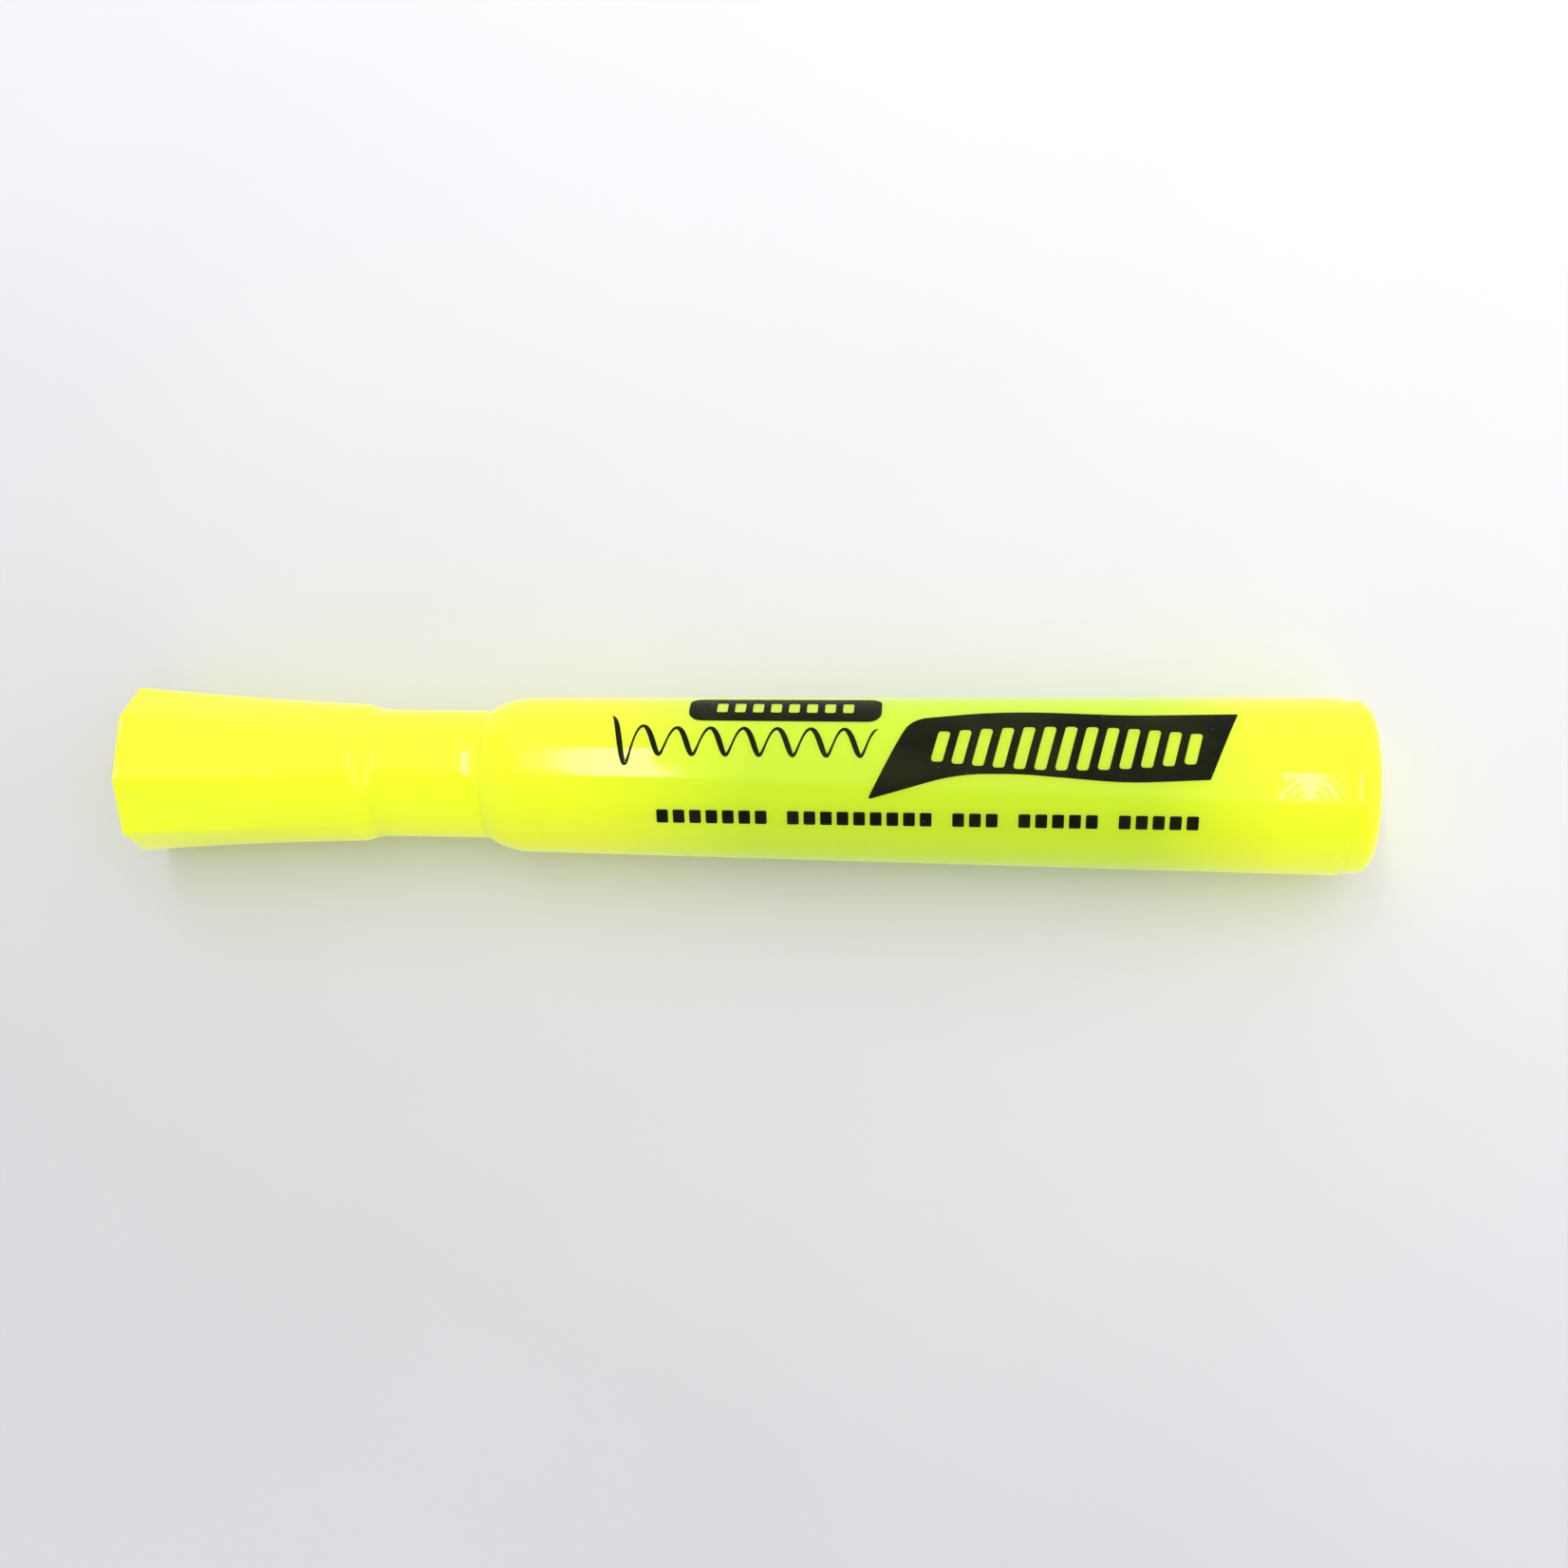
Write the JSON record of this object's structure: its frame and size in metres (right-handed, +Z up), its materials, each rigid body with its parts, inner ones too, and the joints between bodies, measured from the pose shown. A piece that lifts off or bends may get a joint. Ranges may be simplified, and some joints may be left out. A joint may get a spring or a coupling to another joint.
{
  "type": "highlighter pen",
  "caption": "Desk-style chisel-tip highlighter with a tapered round barrel and a pull-off cap that flares to flat sides.",
  "frame": {"origin": "middle of the bounding box's bottom, under the pen's axis and on the line where the barrel's rear rests", "axes": "+X along the pen's axis from the cap to the rear plug, +Z up from the surface it lies on, +Y across; one flat of the cap faces down"},
  "size_m": [0.1218, 0.0174, 0.0173],
  "materials": {
    "barrel_plastic": "glossy opaque fluorescent yellow, moulded, with black print on the upper side",
    "plug_plastic": "glossy opaque fluorescent yellow, moulded",
    "cap_plastic": "glossy opaque fluorescent yellow, moulded",
    "white_plastic": "natural white, satin",
    "nib_felt": "bonded fibre soaked in yellow ink",
    "ink_fibre": "fibre bundle soaked in yellow ink",
    "clear_film": "clear wrapping film"
  },
  "bodies": {
    "barrel_body": {"barrel": "barrel_plastic", "end_plug": "plug_plastic", "nib_holder": "white_plastic", "chisel_nib": "nib_felt", "reservoir_fibre": "ink_fibre", "reservoir_film": "clear_film", "breather_tube": "white_plastic"},
    "cap_body": {"cap_shell": "cap_plastic", "inner_cap": "white_plastic", "cap_crown": "cap_plastic"}
  },
  "joints": [
    {"name": "cap_pull", "type": "slide", "parent": "barrel_body", "child": "cap_body", "axis": [-1, 0, 0], "range_m": [0, 0.045]}
  ]
}
